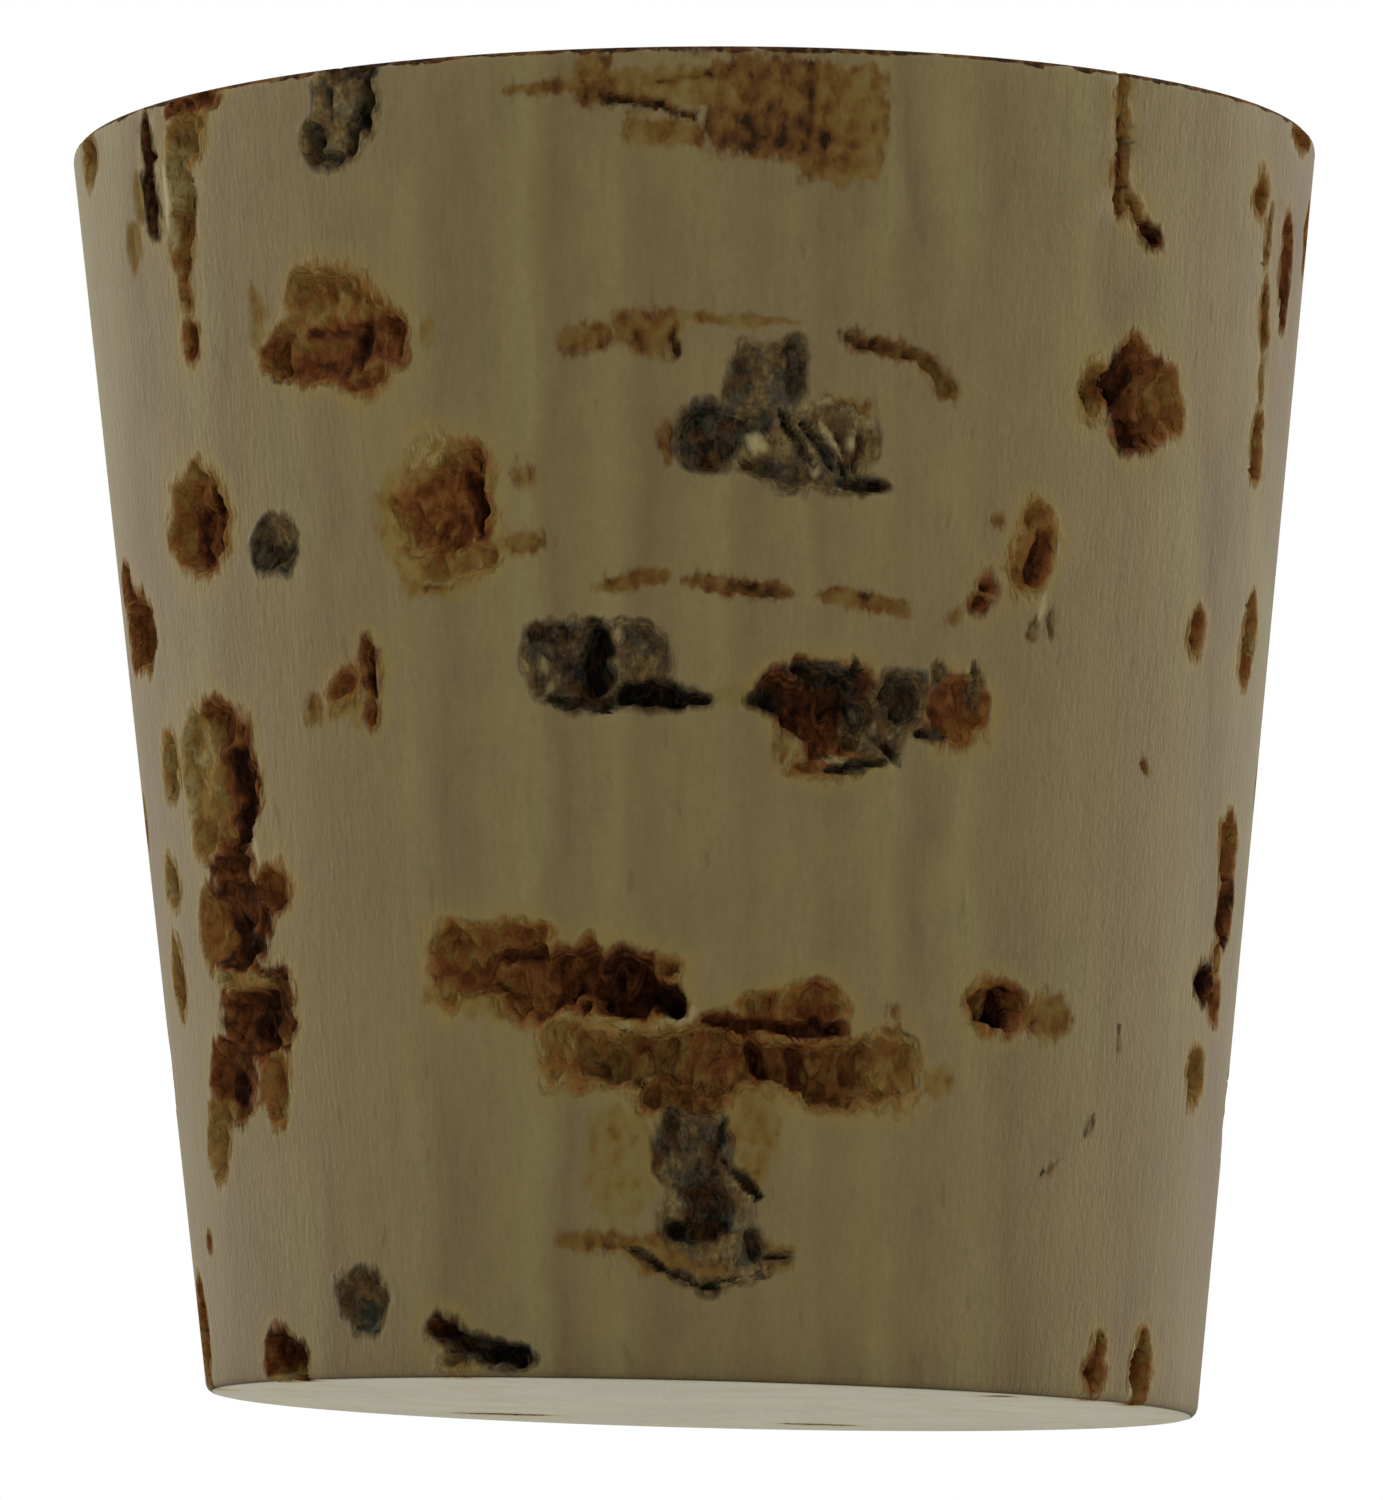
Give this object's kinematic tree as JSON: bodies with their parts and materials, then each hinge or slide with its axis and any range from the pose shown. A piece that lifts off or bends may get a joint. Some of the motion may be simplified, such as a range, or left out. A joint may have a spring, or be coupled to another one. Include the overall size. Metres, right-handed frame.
{
  "type": "cork stopper",
  "caption": "Tapered round stopper cut in one piece from natural cork, with open lenticel pits and streaks in its wall and ends.",
  "frame": {"origin": "middle of the sawn narrow end, which lies flat on the plane z = 0", "axes": "+Z from the narrow end up to the wide end, square to the narrow end; the turned body leans 1.9 degrees from +Z towards -X; X runs along the lenticel channels, across the growth rings"},
  "size_m": [0.0317, 0.0318, 0.0325],
  "materials": {
    "natural_cork": "ground natural cork, dry and matt, with red-brown lenticels and dark woody inclusions"
  },
  "bodies": {
    "root": {"stopper": "natural_cork"}
  },
  "joints": []
}
